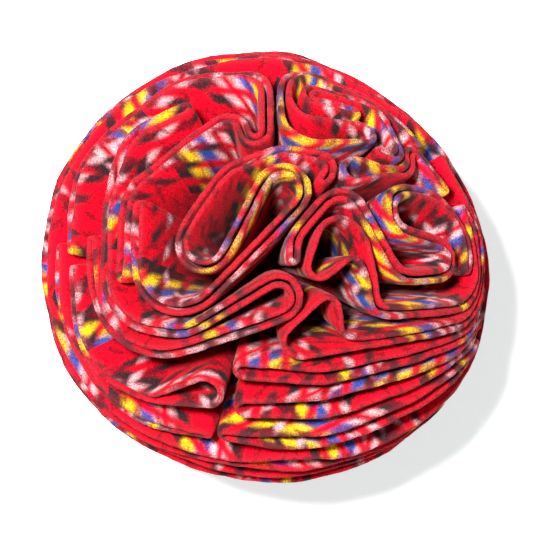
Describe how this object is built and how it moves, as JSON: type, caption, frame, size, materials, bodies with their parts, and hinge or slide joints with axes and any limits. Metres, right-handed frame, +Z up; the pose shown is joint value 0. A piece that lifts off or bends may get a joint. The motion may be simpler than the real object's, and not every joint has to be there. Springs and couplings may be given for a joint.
{
  "type": "dog snuffle ball",
  "caption": "Soft ball of ruffled fleece discs gathered on one middle tie; deep folds hide dry treats for a dog to nose out.",
  "frame": {"origin": "middle of the footprint, on the floor plane under the flat spot", "axes": "+Z up towards the crown, +X to the right of the crown view, +Y to its far side"},
  "size_m": [0.162, 0.1562, 0.1579],
  "materials": {
    "fleece": "matt brushed fleece, red check",
    "fleece_dark": "matt brushed fleece in shade"
  },
  "bodies": {
    "root": {"collar_1": "fleece", "collar_2": "fleece", "collar_3": "fleece", "collar_4": "fleece", "collar_5": "fleece", "tied_middle": "fleece_dark", "top_arch_and_teardrop": "fleece", "top_broad_petal": "fleece", "top_corner_hem": "fleece", "top_corner_pocket": "fleece", "top_far_curl": "fleece", "top_far_petal": "fleece", "top_first_band": "fleece", "top_hook": "fleece", "top_long_loop": "fleece", "top_low_pocket": "fleece", "top_round_pocket": "fleece", "top_second_band": "fleece", "top_small_fold": "fleece", "top_swirl": "fleece", "top_third_band": "fleece", "under_arch_and_teardrop": "fleece", "under_broad_petal": "fleece", "under_corner_hem": "fleece", "under_corner_pocket": "fleece", "under_far_curl": "fleece", "under_far_petal": "fleece", "under_first_band": "fleece", "under_hook": "fleece", "under_long_loop": "fleece", "under_low_pocket": "fleece", "under_round_pocket": "fleece", "under_second_band": "fleece", "under_small_fold": "fleece", "under_swirl": "fleece", "under_third_band": "fleece"}
  },
  "joints": []
}
